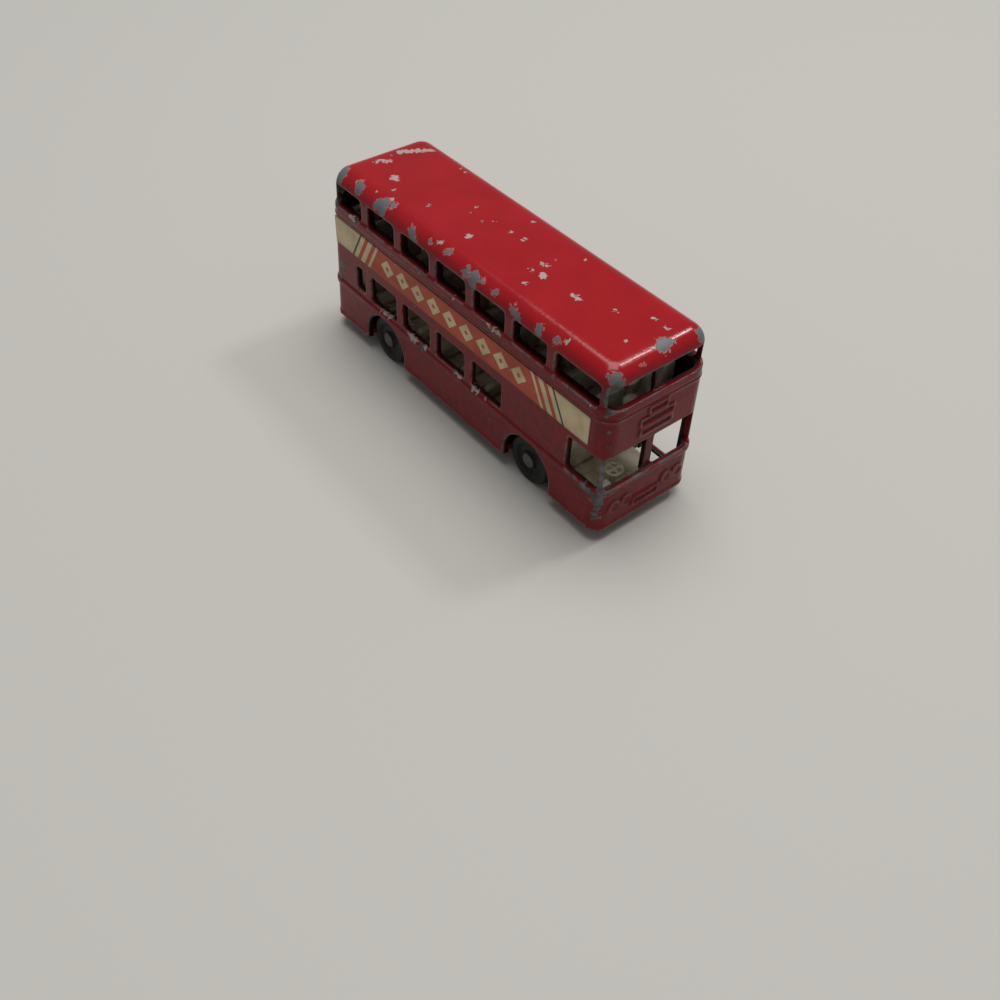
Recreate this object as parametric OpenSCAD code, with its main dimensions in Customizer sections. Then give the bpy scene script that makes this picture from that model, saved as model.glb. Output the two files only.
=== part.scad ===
// Pocket die-cast double-decker toy bus.
// Frame: +X to the front, +Y to the nearside (the door side), +Z up, ground at zero, origin under the middle.

/* [Cast body] */
// Length of the body over its flat end walls
body_length = 74; // [70:0.5:80]
// Width of the body over its flat sides
body_width = 20.8; // [20:0.1:22]
// Height of the roof above the ground
roof_height = 33.3; // [32.8:0.1:35]
// Height of the skirt's lower edge above the ground
skirt_height = 2.4; // [2:0.1:2.8]
// Radius of the upright corners below the upper windows
corner_radius = 2.6; // [2.2:0.1:3]
// Radius of the roof's edges and of the upright corners beside the upper windows
roof_radius = 3.3; // [3:0.1:3.8]
// How much the front leans back, as a share of its height
front_lean_share = 0.02; // [0.01:0.005:0.03]
// How much the rear leans forward, as a share of its height
rear_lean_share = 0.055; // [0.04:0.005:0.065]
// Thickness of the sides and the rear below the upper deck
side_wall = 1.2; // [1:0.05:1.4]
// Thickness of the sides and the rear above the upper deck
upper_wall = 1.7; // [1.6:0.05:2]
// Thickness of the front below the upper deck
front_wall = 0.8; // [0.7:0.05:1]
// Thickness of the front above the upper deck
upper_front_wall = 0.8; // [0.7:0.05:1]
// Thickness of the roof
roof_wall = 1.5; // [1:0.05:2]
// How far the mouldings and front details stand proud of the panels
moulding_proud = 0.3; // [0.2:0.05:0.4]

/* [Windows] */
// Distance between neighbouring window bays
bay_pitch = 9.69; // [9.5:0.01:9.8]
// Place of the middle bay's centre along the bus
bay_centre = -0.6; // [-0.8:0.05:-0.3]
// Length of a window in a bay
window_length = 7.8; // [7.5:0.05:8.1]
// Radius of the windows' corners
window_radius = 0.8; // [0.5:0.05:1]
// Height of the lower deck's window sills above the ground
lower_sill = 11.45; // [11.3:0.05:11.8]
// Height of the lower deck's window heads above the ground
lower_head = 16.8; // [16.5:0.05:17]
// Height of the upper deck's window sills above the ground
upper_sill = 26.7; // [26.5:0.05:27]
// Height of the upper deck's window heads above the ground
upper_head = 30.7; // [30.4:0.05:31]
// Length of the solid panel between the front upper side window and the front
front_pillar = 2.8; // [2.7:0.05:3.1]
// Length of the narrow window behind the last lower bay
narrow_window_length = 2.6; // [2.2:0.05:3]
// Width of the posts in the middle of the front windows
front_post = 1.6; // [1.2:0.05:2]
// Width of each corner pillar beside the windscreen
windscreen_corner = 1.2; // [1.1:0.05:1.5]
// Width of each corner pillar beside the upper front windows
upper_corner = 0.8; // [0.7:0.05:1.1]
// Width of the rear upper window
rear_window_width = 12; // [10:0.1:13]

/* [Doorway and cab] */
// Length of the doorway along the nearside
doorway_length = 7.5; // [7:0.05:7.8]
// Length of the panel between the doorway and the front
doorway_pillar = 2.6; // [2.4:0.05:2.9]
// Height of the thin rail across the foot of the doorway
doorway_rail_height = 4.3; // [4:0.05:4.6]
// Length of the cab window on the offside
cab_window_length = 6.8; // [6.2:0.05:7]
// Depth of the step well from the nearside wall inwards
step_well_depth = 4.2; // [3.8:0.05:4.6]

/* [Running gear] */
// Diameter of a wheel
wheel_diameter = 9.1; // [8.8:0.05:9.3]
// Width of a wheel
wheel_width = 2.6; // [2.2:0.05:2.7]
// Diameter of an axle
axle_diameter = 1.4; // [1.2:0.05:1.6]
// Diameter of an axle's heads
axle_head_diameter = 2.6; // [2.3:0.05:2.7]
// Distance between the axles
wheelbase = 39.9; // [39.2:0.1:40.6]
// Place of the middle of the wheelbase along the bus
wheelbase_centre = -0.5; // [-0.8:0.05:0]
// Distance from the body's flat side in to a wheel's outer face
wheel_inset = 1.1; // [1:0.05:1.3]

/* [Saloons] */
// Height of the upper deck's floor above the ground
deck_height = 18.8; // [18.7:0.05:19.1]
// Thickness of the upper deck's floor
upper_floor = 1; // [0.8:0.05:1.1]
// Thickness of the lower deck's floor
lower_floor = 0.9; // [0.8:0.05:1.1]
// Distance between rows of seats
seat_pitch = 6.4; // [6:0.1:7]
// Width of the gangway between the seats
gangway = 4.4; // [4:0.1:5]
// Height of the upper seats' backs above their floor
upper_seat_height = 6.3; // [5.8:0.1:7]
// Height of the lower seats' backs above their floor
lower_seat_height = 4.2; // [3.8:0.1:4.4]

/* [Side labels] */
// Height of a label's lower edge above the ground
label_low = 18.85; // [18.7:0.05:19]
// Height of a label
label_height = 5.3; // [5:0.05:5.4]
// Thickness of a label
label_thickness = 0.1; // [0.08:0.01:0.15]

/* [Hidden] */
$fn = 48;

// Sides of the bus
offside = -1;
nearside = 1;

// Clearances
overrun = 1;
slip_gap = 0.15;
axle_gap = 0.05;
head_gap = 0.1;
rivet_gap = 0.1;
wheel_gap = 0.4;
arch_gap = 1.2;

// Faces of the cast body
front_face = body_length / 2;
rear_face = -body_length / 2;
side_face = body_width / 2;
cavity_side = side_face - side_wall;
cavity_radius = corner_radius - side_wall;
upper_cavity_side = side_face - upper_wall;
upper_cavity_radius = roof_radius - upper_wall;

// Ends of the body, which lean in from the skirt upwards
front_lean = atan(front_lean_share);
rear_lean = atan(rear_lean_share);
front_reach_share = sqrt(1 + front_lean_share * front_lean_share);
rear_reach_share = sqrt(1 + rear_lean_share * rear_lean_share);

function front_at(z) = front_face - front_lean_share * (z - skirt_height);
function rear_at(z) = rear_face + rear_lean_share * (z - skirt_height);
function saloon_front_at(z) = front_at(z) - front_wall - slip_gap;
function saloon_rear_at(z) = rear_at(z) + side_wall + slip_gap;

// Front, seen from the side: windscreen, the panel over it and the upper windows
front_sill = 10.95;
panel_low = 17.7;
windscreen_setback = 0.75;
upper_glass_foot_setback = 1;
upper_glass_head_setback = 1.5;
upper_rake_share = (upper_glass_head_setback - upper_glass_foot_setback) / (upper_head - upper_sill);
front_post_depth = 0.9;
front_post_root = 0.7;

function upper_glass_at(z) = front_face - upper_glass_foot_setback - upper_rake_share * (z - upper_sill);

// The upper body stands in a hair at its ends from the panels below it
upper_set_in = 0.05;

// Mouldings round the body
waist_moulding_height = 1;
waist_moulding_low = front_sill - waist_moulding_height;
deck_moulding_height = 1.4;
deck_moulding_low = upper_sill - deck_moulding_height;
label_bead_height = 0.35;
label_bead_gap = 0.35;
label_bead_low = label_low + label_height + label_bead_gap;
label_bead_proud = 0.15;

// Window bays, counted from the middle bay
upper_bays = [-3, -2, -1, 0, 1, 2];
lower_bays = [-2, -1, 0, 1];
bay_post = bay_pitch - window_length;
last_bay_front = bay_centre + upper_bays[5] * bay_pitch + window_length / 2;
front_window_start = last_bay_front + bay_post;
front_window_end = front_face - front_pillar;
narrow_window_end = bay_centre + lower_bays[0] * bay_pitch - window_length / 2 - bay_post;
narrow_window_rise = 0.5;
rear_window_rise = 0.2;
front_window_radius = 1;
front_opening_depth = 4;
panel_lip = 0.15;

// Cab window and doorway
cab_pillar = 1.4;
cab_window_end = front_face - cab_pillar;
cab_window_rise = 0.7;
cab_window_head = lower_head + cab_window_rise;
doorway_front = front_face - doorway_pillar;
doorway_rear = doorway_front - doorway_length;
doorway_rail = 0.6;
step_well_side = cavity_side - step_well_depth;

// Running gear
axle_height = wheel_diameter / 2;
front_axle_x = wheelbase_centre + wheelbase / 2;
rear_axle_x = wheelbase_centre - wheelbase / 2;
wheel_outer = side_face - wheel_inset;
wheel_inner = wheel_outer - wheel_width;
arch_drop = 0.6;
arch_shift = 0.4;
arch_radius = wheel_diameter / 2 + arch_gap;
axle_head_height = 0.4;
axle_head_seat = wheel_outer + head_gap;
tyre_shoulder = 0.35;
wheel_dish_radius = 2.9;
wheel_dish_depth = 0.5;
wheel_boss_radius = 1.5;

// Base plate, its lugs, pad and rivets
base_recess = 0.2;
base_thickness = 1;
base_low = skirt_height + base_recess;
base_top = base_low + base_thickness;
lug_thickness = 1.1;
lug_length = 3.6;
lug_cover = 0.7;
lug_outer = wheel_inner - wheel_gap;
lug_top = axle_height + axle_diameter / 2 + lug_cover;
pad_length = 24;
pad_width = 11;
pad_proud = 0.3;
rivet_radius = 1;
rivet_head_radius = 1.7;
rivet_head_height = 0.4;
rivet_post_radius = 1.8;
rivet_post_height = lug_top - slip_gap - base_top;
rivet_post_inset = 0.3;
front_wall_x = front_at(base_top) - front_wall + rivet_post_inset;
rear_wall_x = rear_at(base_top) + side_wall - rivet_post_inset;
front_rivet_x = front_wall_x - rivet_post_radius;
rear_rivet_x = rear_wall_x + rivet_post_radius;

// Saloons
lower_floor_low = lug_top;
lower_floor_top = lower_floor_low + lower_floor;
upper_floor_low = deck_height - upper_floor;
saloon_side = cavity_side - slip_gap;
seat_side = upper_cavity_side - slip_gap;
seat_back_thickness = 1.1;
seat_cushion_length = 3.2;
seat_cushion_height = 2;
seat_corner = 0.9;
seat_length = seat_back_thickness + seat_cushion_length;
rear_seat_gap = 0.6;
upper_seat_top = deck_height + upper_seat_height;
upper_first_row = rear_at(upper_seat_top) + upper_wall + rear_seat_gap;
upper_last_place = front_at(upper_seat_top) - upper_front_wall;
lower_first_row = narrow_window_end;
bulkhead_thickness = 1;
cab_bulkhead_x = doorway_rear - bulkhead_thickness;
cab_bulkhead_side = 1.6;
engine_bay_length = 7.63;
engine_bulkhead_x = rear_face + engine_bay_length;
cab_front = saloon_front_at(front_sill);
cab_lug_setback = 0.4;
cab_lug_inset = 0.6;
cab_lug_length = 1.3;
cab_lug_width = 2;
cab_lug_drop = 0.5;
steering_radius = 1.65;
steering_rim = 0.5;
steering_spoke = 0.45;
steering_column = 0.5;
steering_setback = 2.7;
steering_x = cab_front - steering_setback;
steering_y = -3.8;
steering_drop = 0.7;
steering_height = front_sill - steering_drop - lower_floor_top;

// Labels
label_rear_margin = 2.8;
label_front_margin = 3.85;
label_rear = rear_face + label_rear_margin;
label_front = front_face - label_front_margin;

// Front and rear details
frame_rim = 0.35;
box_widths = [4.1, 7.3, 6.9];
box_heights = [1.6, 1.6, 1.7];
box_lows = [22.85, 21, 19.1];
lamp_radius = 1.15;
lamp_height = 6.7;
lamp_places = [4.4, 6.9];
lamp_rim = 0.3;
plate_width = 5.8;
plate_height = 1.9;
plate_low = 4.4;
bumper_height = 0.7;
bumper_proud = 0.15;
louvre_count = 5;
louvre_pitch = 0.9;
louvre_length = 11;
louvre_height = 0.45;
louvre_low = 7.6;
tail_lamp_y = 7.4;
tail_lamp_height = 12.6;
tail_lamp_radius = 0.7;
detail_sink = 0.5;

// Shapes

module rounded_plan(length, width, radius) {
  square([length, width - 2 * radius], center = true);
  square([length - 2 * radius, width], center = true);
  for (x = [-1, 1], y = [-1, 1])
    translate([x * (length / 2 - radius), y * (width / 2 - radius)])
      circle(r = radius);
}

// Upright prism between two ends along the bus
module prism(rear, front, side, low, high, radius) {
  translate([(rear + front) / 2, 0, low])
    linear_extrude(high - low)
      rounded_plan(front - rear, 2 * side, radius);
}

// Outline seen from the side, pulled across the bus to the same reach on both sides
module across(reach) {
  rotate([90, 0, 0])
    linear_extrude(2 * reach, center = true)
      children();
}

// Slab whose ends lean as the body's do, set in from its front and rear
module leaning_slab(front_inset, rear_inset, reach, low, high) {
  across(reach)
    polygon([
      [rear_at(low) + rear_inset, low],
      [front_at(low) - front_inset, low],
      [front_at(high) - front_inset, high],
      [rear_at(high) + rear_inset, high]
    ]);
}

// Four round posts that lean with the ends, one in each corner
module leaning_posts(front_inset, rear_inset, reach, low, high, radius) {
  for (y = [-1, 1]) {
    translate([front_at(low) - front_inset, y * reach, low])
      rotate([0, -front_lean, 0])
        cylinder(r = radius, h = (high - low) * front_reach_share);
    translate([rear_at(low) + rear_inset, y * reach, low])
      rotate([0, rear_lean, 0])
        cylinder(r = radius, h = (high - low) * rear_reach_share);
  }
}

// Overlong prism with rounded corners, its front end at zero
module end_prism(side, radius) {
  translate([-body_length, 0, -roof_height])
    linear_extrude(3 * roof_height)
      rounded_plan(2 * body_length, 2 * side, radius);
}

// Prism with leaning ends and rounded upright corners
module leaning_prism(front_inset, rear_inset, side, low, high, radius) {
  intersection() {
    translate([front_at(low) - front_inset, 0, low])
      rotate([0, -front_lean, 0])
        end_prism(side, radius);
    translate([rear_at(low) + rear_inset, 0, low])
      rotate([0, rear_lean, 0])
        mirror([1, 0, 0])
          end_prism(side, radius);
    translate([rear_face - overrun, -side - overrun, low])
      cube([body_length + 2 * overrun, 2 * (side + overrun), high - low]);
  }
}

// Leaning prism whose top edges are rounded as much as its upright corners
module leaning_dome(front_inset, rear_inset, side, low, high, radius) {
  spring = high - radius;
  reach = side - radius;
  front_axis = front_inset + radius * front_reach_share;
  rear_axis = rear_inset + radius * rear_reach_share;
  front_centre = front_at(spring) - front_axis;
  rear_centre = rear_at(spring) + rear_axis;
  leaning_slab(front_axis, rear_axis, side, low, spring);
  leaning_posts(front_axis, rear_axis, reach, low, spring, radius);
  across(reach)
    polygon([
      [rear_at(low) + rear_inset, low],
      [front_at(low) - front_inset, low],
      [front_centre + radius * cos(front_lean), spring + radius * sin(front_lean)],
      [front_centre, spring],
      [front_centre, high],
      [rear_centre, high],
      [rear_centre, spring],
      [rear_centre - radius * cos(rear_lean), spring + radius * sin(rear_lean)]
    ]);
  for (y = [-1, 1])
    translate([rear_centre, y * reach, spring])
      rotate([0, 90, 0])
        cylinder(r = radius, h = front_centre - rear_centre);
  for (x = [rear_centre, front_centre])
    translate([x, 0, spring]) {
      rotate([90, 0, 0])
        cylinder(r = radius, h = 2 * reach, center = true);
      for (y = [-1, 1])
        translate([0, y * reach, 0])
          sphere(r = radius);
    }
}

// Opening through a side, from outside the wall to a depth inside it
module side_opening(side, rear, front, low, high, radius, inner) {
  translate([(rear + front) / 2, side * (side_face + overrun), (low + high) / 2])
    rotate([90 * side, 0, 0])
      linear_extrude(side_face + overrun - inner)
        rounded_plan(front - rear, high - low, radius);
}

// Opening through an end wall, reaching from inside the saloon past the outside
module end_opening(inner, outer, right, left, low, high, radius) {
  translate([inner, (right + left) / 2, (low + high) / 2])
    rotate([90, 0, 90])
      linear_extrude(outer - inner)
        rounded_plan(left - right, high - low, radius);
}

module upper_windows(side) {
  inner = upper_cavity_side - overrun;
  for (bay = upper_bays)
    side_opening(side, bay_centre + bay * bay_pitch - window_length / 2,
                 bay_centre + bay * bay_pitch + window_length / 2,
                 upper_sill, upper_head, window_radius, inner);
  side_opening(side, front_window_start, front_window_end, upper_sill, upper_head, window_radius, inner);
}

module lower_windows(side) {
  inner = cavity_side - overrun;
  for (bay = lower_bays)
    side_opening(side, bay_centre + bay * bay_pitch - window_length / 2,
                 bay_centre + bay * bay_pitch + window_length / 2,
                 lower_sill, lower_head, window_radius, inner);
  side_opening(side, narrow_window_end - narrow_window_length, narrow_window_end,
               lower_sill + narrow_window_rise, lower_head, window_radius, inner);
}

// Pair of openings through the front, either side of the middle post
module front_pair(inner, corner, low, high, radius) {
  outer_edge = side_face - corner;
  end_opening(inner, front_face, front_post / 2, outer_edge, low, high, radius);
  end_opening(inner, front_face, -outer_edge, -front_post / 2, low, high, radius);
}

module front_windows() {
  front_pair(front_face - front_opening_depth, upper_corner, upper_sill, upper_head, window_radius);
  front_pair(front_face - front_opening_depth, windscreen_corner, front_sill, panel_low - panel_lip,
             front_window_radius);
}

// What is cut off the front before the windscreen and the upper windows
module front_recesses() {
  across(side_face + overrun) {
    translate([front_face - windscreen_setback, front_sill])
      square([windscreen_setback + overrun, panel_low - front_sill]);
    polygon([
      [front_face + overrun, upper_sill],
      [front_face + overrun, upper_head],
      [upper_glass_at(upper_head), upper_head],
      [upper_glass_at(upper_sill), upper_sill]
    ]);
  }
}

// Posts in the middle of the front windows, rooted in the wall above and below them
module front_posts() {
  windscreen_low = front_sill - front_post_root;
  upper_low = upper_sill - front_post_root;
  upper_high = upper_head + front_post_root;
  across(front_post / 2) {
    translate([front_face - windscreen_setback - front_post_depth, windscreen_low])
      square([front_post_depth, panel_low + front_post_root - windscreen_low]);
    polygon([
      [upper_glass_at(upper_low), upper_low],
      [upper_glass_at(upper_high), upper_high],
      [upper_glass_at(upper_high) - front_post_depth, upper_high],
      [upper_glass_at(upper_low) - front_post_depth, upper_low]
    ]);
  }
}

module wheel_arches() {
  for (x = [front_axle_x, rear_axle_x])
    translate([x + arch_shift, 0, axle_height - arch_drop])
      rotate([90, 0, 0])
        cylinder(r = arch_radius, h = 2 * (side_face + overrun), center = true);
}

// Raised frame on an end wall, standing out along +X from the plane at zero
module raised_frame(width, low, height) {
  translate([-detail_sink, 0, low + height / 2])
    rotate([90, 0, 90])
      linear_extrude(detail_sink + moulding_proud)
        difference() {
          rounded_plan(width, height, frame_rim);
          square([width - 2 * frame_rim, height - 2 * frame_rim], center = true);
        }
}

// Raised lamp on an end wall: a rim round a low lens
module raised_lamp(y, height, radius) {
  translate([-detail_sink, y, height])
    rotate([0, 90, 0]) {
      cylinder(r = radius - lamp_rim, h = detail_sink + moulding_proud / 2);
      difference() {
        cylinder(r = radius, h = detail_sink + moulding_proud);
        cylinder(r = radius - lamp_rim, h = detail_sink + moulding_proud + overrun);
      }
    }
}

module front_details() {
  translate([front_at(0), 0, 0])
    rotate([0, -front_lean, 0]) {
      for (i = [0 : len(box_lows) - 1])
        raised_frame(box_widths[i], box_lows[i], box_heights[i]);
      raised_frame(plate_width, plate_low, plate_height);
      for (side = [offside, nearside], y = lamp_places)
        raised_lamp(side * y, lamp_height, lamp_radius);
    }
}

module rear_details() {
  translate([rear_at(0), 0, 0])
    rotate([0, rear_lean, 0])
      mirror([1, 0, 0]) {
        raised_frame(plate_width, plate_low, plate_height);
        for (i = [0 : louvre_count - 1])
          translate([-detail_sink, -louvre_length / 2, louvre_low + i * louvre_pitch])
            cube([detail_sink + moulding_proud, louvre_length, louvre_height]);
        for (side = [offside, nearside])
          raised_lamp(side * tail_lamp_y, tail_lamp_height, tail_lamp_radius);
      }
}

module moulding(low, height, proud, radius) {
  leaning_prism(-proud, -proud, side_face + proud, low, low + height, radius + proud);
}

module cast_outside() {
  difference() {
    union() {
      leaning_prism(0, 0, side_face, skirt_height, deck_moulding_low, corner_radius);
      leaning_dome(upper_set_in, upper_set_in, side_face, deck_moulding_low - overrun, roof_height,
                   roof_radius);
      moulding(waist_moulding_low, waist_moulding_height, moulding_proud, corner_radius);
      moulding(deck_moulding_low, deck_moulding_height, moulding_proud, roof_radius);
      moulding(label_bead_low, label_bead_height, label_bead_proud, corner_radius);
      moulding(skirt_height, bumper_height, bumper_proud, corner_radius);
    }
    front_recesses();
  }
  front_details();
  rear_details();
}

module cast_hollow() {
  leaning_prism(front_wall, side_wall, cavity_side, skirt_height - overrun, deck_height, cavity_radius);
  leaning_prism(upper_front_wall, upper_wall, upper_cavity_side, deck_height - overrun,
                roof_height - roof_wall, upper_cavity_radius);
}

module cast_openings() {
  for (side = [offside, nearside]) {
    upper_windows(side);
    lower_windows(side);
  }
  front_windows();
  end_opening(rear_face - overrun, rear_at(upper_head) + 2 * upper_wall, -rear_window_width / 2,
              rear_window_width / 2, upper_sill + rear_window_rise, upper_head, window_radius);
  side_opening(offside, cab_window_end - cab_window_length, cab_window_end, front_sill, cab_window_head,
               window_radius, cavity_side - overrun);
  side_opening(nearside, doorway_rear, doorway_front, doorway_rail_height, cab_window_head,
               window_radius, cavity_side - overrun);
  translate([doorway_rear, cavity_side - overrun, skirt_height - overrun])
    cube([doorway_length, side_wall + 2 * overrun,
          doorway_rail_height - doorway_rail - skirt_height + overrun]);
  wheel_arches();
}

// Post cast on an end wall, its spigot through the base and the peened head under it
module rivet_post(x, wall_x) {
  translate([x, 0, base_top])
    cylinder(r = rivet_post_radius, h = rivet_post_height);
  translate([min(x, wall_x), -rivet_post_radius, base_top])
    cube([abs(wall_x - x), 2 * rivet_post_radius, rivet_post_height]);
  translate([x, 0, base_low])
    cylinder(r = rivet_radius, h = base_top - base_low + rivet_head_height);
  translate([x, 0, base_low - rivet_head_height])
    cylinder(r1 = rivet_head_radius - rivet_head_height / 2, r2 = rivet_head_radius, h = rivet_head_height);
}

module body_casting() {
  color("firebrick") {
    difference() {
      cast_outside();
      cast_hollow();
      cast_openings();
    }
    front_posts();
    rivet_post(front_rivet_x, front_wall_x);
    rivet_post(rear_rivet_x, rear_wall_x);
  }
}

// Pair of lugs that an axle turns in
module axle_lugs(x) {
  for (side = [offside, nearside])
    translate([x - lug_length / 2, side > 0 ? lug_outer - lug_thickness : -lug_outer, base_low])
      cube([lug_length, lug_thickness, lug_top - base_low]);
}

module wheel_wells(low, high) {
  for (x = [front_axle_x, rear_axle_x], side = [offside, nearside])
    translate([x + arch_shift - arch_radius, side > 0 ? lug_outer : -side_face - overrun, low])
      cube([2 * arch_radius, side_face + overrun - lug_outer, high - low]);
}

module step_well(low, high) {
  translate([doorway_rear - slip_gap, step_well_side, low])
    cube([doorway_length + 2 * slip_gap, step_well_depth + overrun, high - low]);
}

module base_plate() {
  color("darkred")
    difference() {
      union() {
        difference() {
          prism(saloon_rear_at(base_top), saloon_front_at(base_top), saloon_side, base_low, base_top,
                cavity_radius - slip_gap);
          wheel_wells(base_low - overrun, base_top + overrun);
          step_well(base_low - overrun, base_top + overrun);
        }
        axle_lugs(front_axle_x);
        axle_lugs(rear_axle_x);
        translate([-pad_length / 2, -pad_width / 2, base_low - pad_proud])
          cube([pad_length, pad_width, pad_proud + base_thickness]);
      }
      for (x = [front_axle_x, rear_axle_x])
        translate([x, 0, axle_height])
          rotate([90, 0, 0])
            cylinder(d = axle_diameter + 2 * axle_gap, h = 2 * side_face, center = true);
      for (x = [front_rivet_x, rear_rivet_x])
        translate([x, 0, base_low - overrun])
          cylinder(r = rivet_radius + rivet_gap, h = base_thickness + 2 * overrun);
    }
}

// Seat for two, its back's top corners rounded, with its back's rear face at zero
module seat(inner, outer, height) {
  width = outer - inner;
  translate([seat_back_thickness, (inner + outer) / 2, 0])
    rotate([90, 0, -90])
      linear_extrude(seat_back_thickness) {
        translate([-width / 2, 0])
          square([width, height - seat_corner]);
        translate([-width / 2 + seat_corner, 0])
          square([width - 2 * seat_corner, height]);
        for (y = [-1, 1])
          translate([y * (width / 2 - seat_corner), height - seat_corner])
            circle(r = seat_corner);
      }
  translate([0, inner, 0])
    cube([seat_length, width, seat_cushion_height]);
}

// Rows of seats from the first one's back to no further than the last place
module seat_rows(first, last, height) {
  rows = floor((last - first - seat_length) / seat_pitch) + 1;
  for (row = [0 : rows - 1])
    translate([first + row * seat_pitch, 0, 0]) {
      seat(gangway / 2, seat_side, height);
      seat(-seat_side, -gangway / 2, height);
    }
}

module upper_saloon() {
  color("wheat") {
    prism(saloon_rear_at(deck_height), saloon_front_at(deck_height), saloon_side, upper_floor_low,
          deck_height, cavity_radius - slip_gap);
    translate([0, 0, deck_height])
      seat_rows(upper_first_row, upper_last_place, upper_seat_height);
  }
}

// Cab of the lower moulding: bulkhead, lug in the front corner, and steering wheel on its column
module cab() {
  translate([cab_bulkhead_x, -saloon_side, 0])
    cube([bulkhead_thickness, saloon_side + cab_bulkhead_side, upper_floor_low - lower_floor_top]);
  translate([cab_front - cab_lug_setback - cab_lug_length, -saloon_side + cab_lug_inset, 0])
    cube([cab_lug_length, cab_lug_width, front_sill - cab_lug_drop - lower_floor_top]);
  translate([steering_x, steering_y, 0]) {
    cylinder(r = steering_column, h = steering_height);
    translate([0, 0, steering_height - steering_rim]) {
      difference() {
        cylinder(r = steering_radius, h = steering_rim);
        translate([0, 0, -overrun])
          cylinder(r = steering_radius - steering_rim, h = steering_rim + 2 * overrun);
      }
      for (turn = [0, 90])
        rotate([0, 0, turn])
          translate([-steering_radius + steering_rim / 2, -steering_spoke / 2, 0])
            cube([2 * steering_radius - steering_rim, steering_spoke, steering_rim]);
    }
  }
}

module lower_saloon() {
  color("wheat")
    difference() {
      union() {
        prism(saloon_rear_at(lower_floor_top), saloon_front_at(lower_floor_top), saloon_side, lower_floor_low,
              lower_floor_top, cavity_radius - slip_gap);
        translate([0, 0, lower_floor_top]) {
          seat_rows(lower_first_row, cab_bulkhead_x, lower_seat_height);
          translate([engine_bulkhead_x, -saloon_side, 0])
            cube([bulkhead_thickness, 2 * saloon_side, upper_floor_low - lower_floor_top]);
          cab();
        }
      }
      for (x = [front_axle_x, rear_axle_x], side = [offside, nearside])
        translate([x, side > 0 ? lug_outer : -side_face, axle_height])
          rotate([-90, 0, 0])
            cylinder(r = arch_radius, h = side_face - lug_outer);
      step_well(lower_floor_low - overrun, upper_floor_low);
    }
}

module axle(x) {
  color("silver")
    translate([x, 0, axle_height])
      rotate([90, 0, 0]) {
        cylinder(d = axle_diameter, h = 2 * axle_head_seat, center = true);
        for (end = [0, 1])
          mirror([0, 0, end])
            translate([0, 0, axle_head_seat])
              rotate_extrude()
                intersection() {
                  square([axle_head_diameter / 2, axle_head_height]);
                  translate([0, axle_head_height - axle_head_diameter])
                    circle(r = axle_head_diameter);
                }
      }
}

module front_axle() {
  axle(front_axle_x);
}

module rear_axle() {
  axle(rear_axle_x);
}

// Wheel with its outer face dished round a low boss
module wheel(x, side) {
  bore = axle_diameter / 2 + axle_gap;
  radius = wheel_diameter / 2;
  color("#202226")
    translate([x, side * wheel_inner, axle_height])
      rotate([-90 * side, 0, 0])
        rotate_extrude($fn = 96)
          polygon([
            [bore, 0],
            [radius - tyre_shoulder, 0],
            [radius, tyre_shoulder],
            [radius, wheel_width - tyre_shoulder],
            [radius - tyre_shoulder, wheel_width],
            [wheel_dish_radius, wheel_width],
            [wheel_dish_radius, wheel_width - wheel_dish_depth],
            [wheel_boss_radius, wheel_width - wheel_dish_depth],
            [wheel_boss_radius, wheel_width],
            [bore, wheel_width]
          ]);
}

module front_offside_wheel() {
  wheel(front_axle_x, offside);
}

module front_nearside_wheel() {
  wheel(front_axle_x, nearside);
}

module rear_offside_wheel() {
  wheel(rear_axle_x, offside);
}

module rear_nearside_wheel() {
  wheel(rear_axle_x, nearside);
}

module label(side) {
  color("orangered")
    translate([label_rear, side > 0 ? side_face : -side_face - label_thickness, label_low])
      cube([label_front - label_rear, label_thickness, label_height]);
}

module offside_label() {
  label(offside);
}

module nearside_label() {
  label(nearside);
}

body_casting();
base_plate();
upper_saloon();
lower_saloon();
front_axle();
rear_axle();
front_offside_wheel();
front_nearside_wheel();
rear_offside_wheel();
rear_nearside_wheel();
offside_label();
nearside_label();
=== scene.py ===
import math

import bmesh
import bpy
import numpy as np
from mathutils import Matrix, Vector


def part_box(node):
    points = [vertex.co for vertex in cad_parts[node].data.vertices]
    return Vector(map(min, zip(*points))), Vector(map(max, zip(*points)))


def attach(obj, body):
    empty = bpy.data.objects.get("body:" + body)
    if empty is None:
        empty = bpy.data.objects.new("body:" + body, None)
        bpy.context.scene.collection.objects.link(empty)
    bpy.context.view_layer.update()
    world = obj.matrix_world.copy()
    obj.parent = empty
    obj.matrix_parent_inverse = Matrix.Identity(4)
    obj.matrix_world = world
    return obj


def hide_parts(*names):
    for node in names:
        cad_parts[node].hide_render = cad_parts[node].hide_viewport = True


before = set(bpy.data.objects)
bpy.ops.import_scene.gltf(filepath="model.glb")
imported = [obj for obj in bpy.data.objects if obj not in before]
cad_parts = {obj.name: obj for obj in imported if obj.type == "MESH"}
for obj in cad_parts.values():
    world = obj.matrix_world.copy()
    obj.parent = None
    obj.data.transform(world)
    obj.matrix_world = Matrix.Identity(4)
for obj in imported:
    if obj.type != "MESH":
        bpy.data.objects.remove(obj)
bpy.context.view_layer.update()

# Cast body
# One zinc pressure die-casting, sprayed in thick red enamel and played with for years.
# The enamel softens every cast edge; it has chipped to dull grey zinc along the roof and corners,
# and is rubbed thin and brown along the mouldings and round the windows.

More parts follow.
